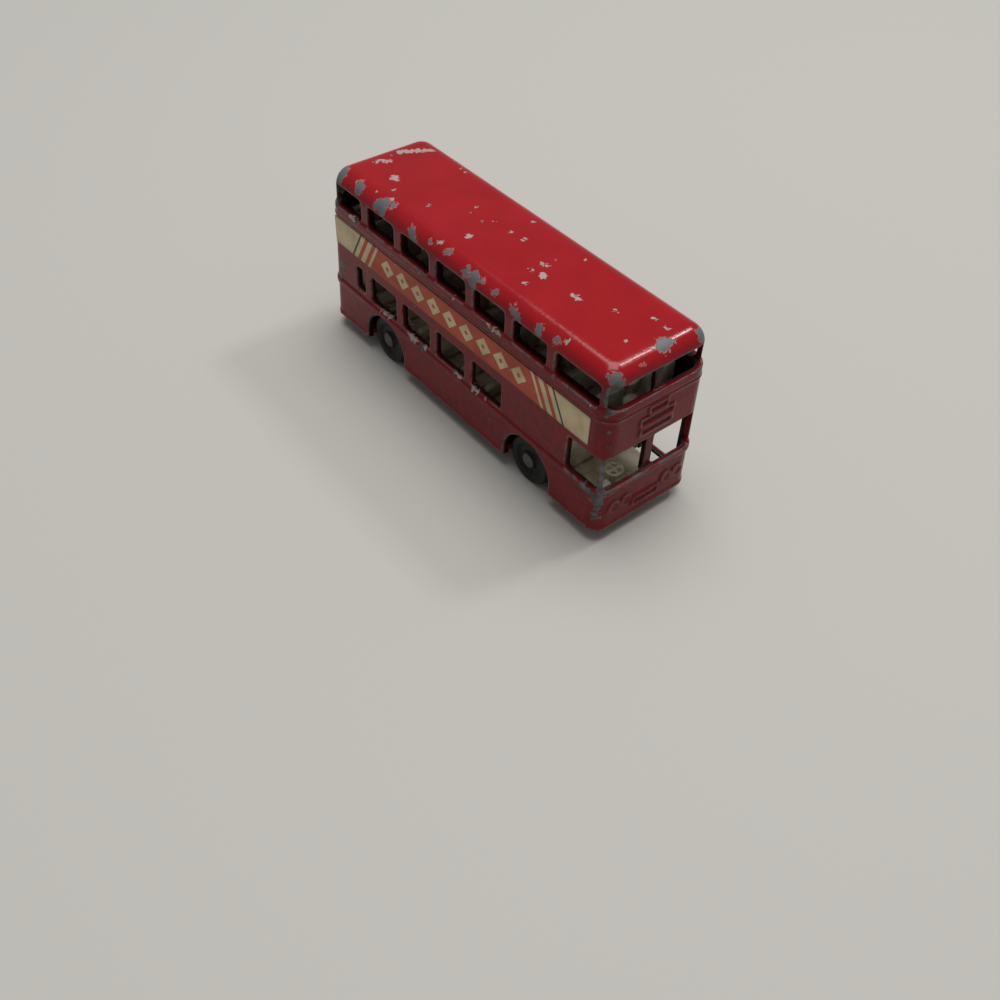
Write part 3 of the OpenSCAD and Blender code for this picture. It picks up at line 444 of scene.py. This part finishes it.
# Dull steel wire: a mottled grey with a blurred shine
made, tree, shader, place = start_material("dull_steel_wire")
tarnish = put(tree, "ShaderNodeTexNoise",
              {"Vector": place, "Scale": 1 / TARNISH_MM, "Detail": 6.0, "Roughness": 0.65})
tone = put(tree, "ShaderNodeMix", {"Factor": tarnish.outputs["Fac"], 6: linear(STEEL_DULL), 7: linear(STEEL)},
           data_type="RGBA")
feed(tree, tone, shader, "Base Color")
shader.inputs["Metallic"].default_value = 0.7
rough = put(tree, "ShaderNodeMapRange", {"Value": tarnish.outputs["Fac"], "To Min": 0.35, "To Max": 0.65})
feed(tree, rough, shader, "Roughness")
relief = put(tree, "ShaderNodeBump",
             {"Height": tarnish.outputs["Fac"], "Distance": PIT_DEPTH_MM * MM, "Strength": 0.5})
feed(tree, relief, shader, "Normal")
for node in ("front_axle", "rear_axle"):
    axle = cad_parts[node]
    axle.data.materials.clear()
    axle.data.materials.append(made)

# Wheels
# Four small wheels moulded in black polythene with a fine ribbed tread, dished round a low boss.
# They are pushed on the axle before its heads are struck, so each turns freely.

WHEEL_RADIUS_MM, WHEEL_WIDTH_MM, BORE_MM, SHOULDER_MM = 4.55, 2.6, 0.75, 0.42
WHEEL_STEPS, SHOULDER_STEPS = 96, 6
BACK_MM = [(2.2, 0.0), (3.4, 0.08)]          # inner face: radius and depth
TYRE_WALL_MM = [(3.55, 0.06), (3.3, 0.02), (3.12, 0.03), (3.0, 0.12)]      # outer face: radius and depth
DISH_MM = [(2.85, 0.42), (2.6, 0.5), (1.72, 0.5), (1.56, 0.42)]
BOSS_MM = [(1.5, 0.12), (1.42, 0.03), (1.25, 0.0)]
TREAD_RIBS, RIB_WIDTH_MM, RIB_RISE_MM, RIB_LENGTH_MM = 44, 0.34, 0.09, 1.6
BLACK_PLASTIC, BLACK_DUST = "#09090B", "#1E1E1E"
ROAD_DUST_MM, DUST_DEPTH_MM = 1.1, 0.04
# Black polythene: near black with a waxy shine, greyer and dull where road dust clings
made, tree, shader, place = start_material("black_polythene")
dust = put(tree, "ShaderNodeTexNoise",
           {"Vector": place, "Scale": 1 / ROAD_DUST_MM, "Detail": 6.0, "Roughness": 0.66})
settled = put(tree, "ShaderNodeMapRange", {"Value": dust.outputs["Fac"], "From Min": 0.4, "From Max": 0.8})
tone = put(tree, "ShaderNodeMix", {"Factor": settled, 6: linear(BLACK_PLASTIC), 7: linear(BLACK_DUST)},
           data_type="RGBA")
feed(tree, tone, shader, "Base Color")
rough = put(tree, "ShaderNodeMapRange", {"Value": settled, "To Min": 0.36, "To Max": 0.65})
feed(tree, rough, shader, "Roughness")
shader.inputs["Specular IOR Level"].default_value = 0.3
relief = put(tree, "ShaderNodeBump",
             {"Height": dust.outputs["Fac"], "Distance": DUST_DEPTH_MM * MM, "Strength": 0.5})
feed(tree, relief, shader, "Normal")

# Tread ribs set round the wheel's axis, which is Y
ribs = bpy.data.node_groups.new("tread_ribs", "GeometryNodeTree")
ribs.interface.new_socket("Wheel", in_out="INPUT", socket_type="NodeSocketGeometry")
for name, kind in (("Count", "NodeSocketInt"), ("Radius", "NodeSocketFloat"), ("Rib Size", "NodeSocketVector")):
    ribs.interface.new_socket(name, in_out="INPUT", socket_type=kind)
ribs.interface.new_socket("Wheel", in_out="OUTPUT", socket_type="NodeSocketGeometry")
given = put(ribs, "NodeGroupInput")
ring = put(ribs, "GeometryNodeMeshCircle",
           {"Vertices": given.outputs["Count"], "Radius": given.outputs["Radius"]})
block = put(ribs, "GeometryNodeMeshCube", {"Size": given.outputs["Rib Size"]})
spot = put(ribs, "GeometryNodeInputPosition")
outward = put(ribs, "FunctionNodeAlignRotationToVector", {"Vector": spot}, axis="X")
set_round = put(ribs, "GeometryNodeInstanceOnPoints", {"Points": ring, "Instance": block, "Rotation": outward})
upright = put(ribs, "GeometryNodeTransform", {"Geometry": set_round, "Rotation": (math.pi / 2, 0, 0)})
joined = put(ribs, "GeometryNodeJoinGeometry")
ribs.links.new(given.outputs["Wheel"], joined.inputs[0])
ribs.links.new(upright.outputs[0], joined.inputs[0])
real = put(ribs, "GeometryNodeRealizeInstances", {"Geometry": joined})
dyed = put(ribs, "GeometryNodeSetMaterial", {"Geometry": real, "Material": made})
put(ribs, "NodeGroupOutput", {0: dyed})

# Half section of a wheel from its inner face outwards: radius and place along the axle
crown = WHEEL_RADIUS_MM - RIB_RISE_MM
wall = crown - SHOULDER_MM
outline = [(BORE_MM, 0.0)] + BACK_MM + [(wall, 0.0)]
for turn in range(1, SHOULDER_STEPS + 1):
    a = math.pi / 2 * turn / SHOULDER_STEPS
    outline.append((wall + SHOULDER_MM * math.sin(a), SHOULDER_MM - SHOULDER_MM * math.cos(a)))
for turn in range(SHOULDER_STEPS):
    a = math.pi / 2 * turn / SHOULDER_STEPS
    outline.append((wall + SHOULDER_MM * math.cos(a), WHEEL_WIDTH_MM - SHOULDER_MM + SHOULDER_MM * math.sin(a)))
outline.append((wall, WHEEL_WIDTH_MM))
outline += [(radius, WHEEL_WIDTH_MM - deep) for radius, deep in TYRE_WALL_MM + DISH_MM + BOSS_MM]
outline.append((BORE_MM, WHEEL_WIDTH_MM))

for node in ("front_offside_wheel", "front_nearside_wheel", "rear_offside_wheel", "rear_nearside_wheel"):
    low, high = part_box(node)
    outside = 1 if low.y > 0 else -1
    inner = low.y if outside > 0 else high.y
    work = bmesh.new()
    rows = []
    for k in range(WHEEL_STEPS):
        a = 2 * math.pi * k / WHEEL_STEPS
        row = []
        for radius, along in outline:
            across = outside * (along - WHEEL_WIDTH_MM / 2)
            row.append(work.verts.new((radius * math.cos(a) * MM, across * MM, radius * math.sin(a) * MM)))
        rows.append(row)
    for k, row in enumerate(rows):
        ahead = rows[(k + 1) % WHEEL_STEPS]
        for i in range(len(outline)):
            j = (i + 1) % len(outline)
            work.faces.new((row[i], row[j], ahead[j], ahead[i]))
    bmesh.ops.recalc_face_normals(work, faces=work.faces)
    for face in work.faces:
        face.smooth = True
    mesh = bpy.data.meshes.new("moulded_" + node)
    work.to_mesh(mesh)
    work.free()
    wheel = bpy.data.objects.new("moulded_" + node, mesh)
    scene.collection.objects.link(wheel)
    tread = wheel.modifiers.new("tread", "NODES")
    tread.node_group = ribs
    settings = {"Count": TREAD_RIBS, "Radius": crown * MM,
                "Rib Size": (2 * RIB_RISE_MM * MM, RIB_WIDTH_MM * MM, RIB_LENGTH_MM * MM)}
    for item in ribs.interface.items_tree:
        if item.in_out == "INPUT" and item.name in settings:
            tread[item.identifier] = settings[item.name]
    graph = bpy.context.evaluated_depsgraph_get()
    plain = bpy.data.meshes.new_from_object(wheel.evaluated_get(graph), depsgraph=graph)
    wheel.modifiers.clear()
    wheel.data = plain
    middle = inner + outside * WHEEL_WIDTH_MM / 2 * MM
    plain.transform(Matrix.Translation(((low.x + high.x) / 2, middle, (low.z + high.z) / 2)))
    dress(wheel, made, node + "_body", node)

# Side labels
# Two long gummed-paper labels pressed on between the mouldings, printed in orange-red, cream and dark green.
# The paper has yellowed and the ink is rubbed and grubby along the edges.

LABEL_MIDDLE_X_MM, LABEL_MIDDLE_Z_MM, LABEL_HALF_HEIGHT_MM = -0.52, 21.5, 2.65
LOZENGE_PITCH_MM, LOZENGE_HALF_LENGTH_MM, LOZENGE_HALF_HEIGHT_MM = 4.4, 1.9, 1.7
LOZENGE_RUN_MM, LOZENGE_SOFT, HEART_SIZE, HEART_SOFT = 19.8, 0.03, 0.27, 0.03
STRIPE_LEAN, PRINT_EDGE_MM = 0.55, 0.03
CREAM_STRIPES_MM = [(21.6, 22.3), (23.3, 24.5), (25.5, 40.0)]
GREEN_STRIPE_MM = (26.6, 27.1)
YELLOWING_MM, LOST_INK_MM, INK_DEPTH_MM, GRUBBY_EDGE_MM = 4.0, 0.9, 0.03, 0.5
LABEL_RED, LABEL_CREAM, LABEL_GREEN, LABEL_GRIME = "#BA4A2E", "#D3C198", "#39483F", "#4A3428"
# Printed paper: flat warm inks, a row of lozenges between slanted stripes, with rubbed spots and dirty edges
made, tree, shader, place = start_material("printed_paper_label")
spot = put(tree, "ShaderNodeSeparateXYZ", {0: place})
from_middle = put(tree, "ShaderNodeMath", {0: spot.outputs["X"], 1: LABEL_MIDDLE_X_MM}, operation="SUBTRACT")
across = put(tree, "ShaderNodeMath", {0: spot.outputs["Z"], 1: LABEL_MIDDLE_Z_MM}, operation="SUBTRACT")
out_along = put(tree, "ShaderNodeMath", {0: from_middle}, operation="ABSOLUTE")
out_across = put(tree, "ShaderNodeMath", {0: across}, operation="ABSOLUTE")
in_cell = put(tree, "ShaderNodeMath", {0: from_middle, 1: LOZENGE_PITCH_MM / 2, 2: -LOZENGE_PITCH_MM / 2},
              operation="WRAP")
in_cell = put(tree, "ShaderNodeMath", {0: in_cell}, operation="ABSOLUTE")
tall = put(tree, "ShaderNodeMath", {0: out_across, 1: 1 / LOZENGE_HALF_HEIGHT_MM}, operation="MULTIPLY")
reach = put(tree, "ShaderNodeMath", {0: in_cell, 1: 1 / LOZENGE_HALF_LENGTH_MM, 2: tall},
            operation="MULTIPLY_ADD")
lozenge = put(tree, "ShaderNodeMapRange",
              {"Value": reach, "From Min": 1 + LOZENGE_SOFT, "From Max": 1 - LOZENGE_SOFT})
heart = put(tree, "ShaderNodeMapRange",
            {"Value": reach, "From Min": HEART_SIZE - HEART_SOFT, "From Max": HEART_SIZE + HEART_SOFT})
run = put(tree, "ShaderNodeMapRange", {"Value": out_along, "From Min": LOZENGE_RUN_MM + PRINT_EDGE_MM,
                                       "From Max": LOZENGE_RUN_MM - PRINT_EDGE_MM})
lozenge = put(tree, "ShaderNodeMath", {0: lozenge, 1: heart}, operation="MULTIPLY")
print_mask = put(tree, "ShaderNodeMath", {0: lozenge, 1: run}, operation="MULTIPLY")
slant = put(tree, "ShaderNodeMath", {0: across, 1: STRIPE_LEAN, 2: out_along}, operation="MULTIPLY_ADD")


def stripe(start, end):
    """Mask of a slanted stripe between two places from the label's middle."""
    rise = put(tree, "ShaderNodeMapRange",
               {"Value": slant, "From Min": start - PRINT_EDGE_MM, "From Max": start + PRINT_EDGE_MM})
    fall = put(tree, "ShaderNodeMapRange",
               {"Value": slant, "From Min": end + PRINT_EDGE_MM, "From Max": end - PRINT_EDGE_MM})
    return put(tree, "ShaderNodeMath", {0: rise, 1: fall}, operation="MULTIPLY")


for start, end in CREAM_STRIPES_MM:
    print_mask = put(tree, "ShaderNodeMath", {0: print_mask, 1: stripe(start, end)}, operation="MAXIMUM")
aged = put(tree, "ShaderNodeTexNoise",
           {"Vector": place, "Scale": 1 / YELLOWING_MM, "Detail": 7.0, "Roughness": 0.66})
flaked = put(tree, "ShaderNodeTexNoise",
             {"Vector": place, "Scale": 1 / LOST_INK_MM, "Detail": 5.0, "Roughness": 0.7})
lost = put(tree, "ShaderNodeMapRange",
           {"Value": flaked.outputs["Fac"], "From Min": 0.66, "From Max": 0.7, "To Max": 0.7})
print_mask = put(tree, "ShaderNodeMath", {0: print_mask, 1: lost}, operation="MAXIMUM")
two = put(tree, "ShaderNodeMix", {"Factor": print_mask, 6: linear(LABEL_RED), 7: linear(LABEL_CREAM)},
          data_type="RGBA")
three = put(tree, "ShaderNodeMix", {"Factor": stripe(*GREEN_STRIPE_MM), 6: two, 7: linear(LABEL_GREEN)},
            data_type="RGBA")
margin = put(tree, "ShaderNodeMapRange",
             {"Value": out_across, "From Min": LABEL_HALF_HEIGHT_MM - GRUBBY_EDGE_MM,
              "From Max": LABEL_HALF_HEIGHT_MM, "To Max": 0.55})
mottle = put(tree, "ShaderNodeMapRange",
             {"Value": aged.outputs["Fac"], "From Min": 0.42, "From Max": 0.8, "To Max": 0.5})
grubby = put(tree, "ShaderNodeMath", {0: margin, 1: mottle}, operation="MAXIMUM")
colour = put(tree, "ShaderNodeMix", {"Factor": grubby, 6: three, 7: linear(LABEL_GRIME)}, data_type="RGBA")
feed(tree, colour, shader, "Base Color")
rough = put(tree, "ShaderNodeMapRange", {"Value": aged.outputs["Fac"], "To Min": 0.45, "To Max": 0.8})
feed(tree, rough, shader, "Roughness")
relief = put(tree, "ShaderNodeBump",
             {"Height": flaked.outputs["Fac"], "Distance": INK_DEPTH_MM * MM, "Strength": 0.5})
feed(tree, relief, shader, "Normal")
for node in ("offside_label", "nearside_label"):
    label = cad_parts[node]
    label.data.materials.clear()
    label.data.materials.append(made)

# Floor, lamps and camera
# A plain pale table top under one wide lamp overhead, a small one on the nearside, and a dim even room.
# The camera looks down on the front offside corner.

FLOOR, FLOOR_REACH = "#C3C0B9", 3.0
ROOM, ROOM_STRENGTH = "#EEF0F2", 0.26
LAMPS = [                    # name, watts, width and place in metres
    ("wide_lamp", 6.2, 0.7, (-0.1, 0.11, 0.9)),
    ("small_lamp", 1.7, 0.14, (0.1, 0.62, 0.82)),
]
CAMERA_PLACE = (0.11261, -0.09613, 0.12627)
CAMERA_RIGHT = Vector((0.62783, 0.77753, 0.03586))
CAMERA_DOWN = Vector((0.57495, -0.43221, -0.69471))
CAMERA_AHEAD = Vector((-0.52466, 0.45678, -0.71839))
mesh = bpy.data.meshes.new("table_top")
corners = [(-FLOOR_REACH, -FLOOR_REACH, 0), (FLOOR_REACH, -FLOOR_REACH, 0), (FLOOR_REACH, FLOOR_REACH, 0),
           (-FLOOR_REACH, FLOOR_REACH, 0)]
mesh.from_pydata(corners, [], [(0, 1, 2, 3)])
floor = bpy.data.objects.new("table_top", mesh)
scene.collection.objects.link(floor)
# Pale table top: an even matt grey that takes the shadow
made, tree, shader, place = start_material("pale_table_top")
shader.inputs["Base Color"].default_value = linear(FLOOR)
shader.inputs["Roughness"].default_value = 0.7
mesh.materials.append(made)

room = bpy.data.worlds.new("dim_room")
room.use_nodes = True
room.node_tree.nodes["Background"].inputs["Color"].default_value = linear(ROOM)
room.node_tree.nodes["Background"].inputs["Strength"].default_value = ROOM_STRENGTH
scene.world = room
for name, energy, size, spot in LAMPS:
    lamp = bpy.data.objects.new(name, bpy.data.lights.new(name, "AREA"))
    lamp.data.energy, lamp.data.size = energy, size
    lamp.location = spot
    lamp.rotation_euler = (-lamp.location).to_track_quat("-Z", "Y").to_euler()
    scene.collection.objects.link(lamp)

camera = bpy.data.objects.new("camera", bpy.data.cameras.new("camera"))
camera.data.lens, camera.data.sensor_width = 38.557, 36.0
camera.data.clip_start, camera.data.clip_end = 0.005, 20.0
turn = Matrix((CAMERA_RIGHT, -CAMERA_DOWN, -CAMERA_AHEAD)).transposed().to_4x4()
camera.matrix_world = Matrix.Translation(CAMERA_PLACE) @ turn
scene.collection.objects.link(camera)
scene.camera = camera
scene.view_settings.view_transform = "Standard"
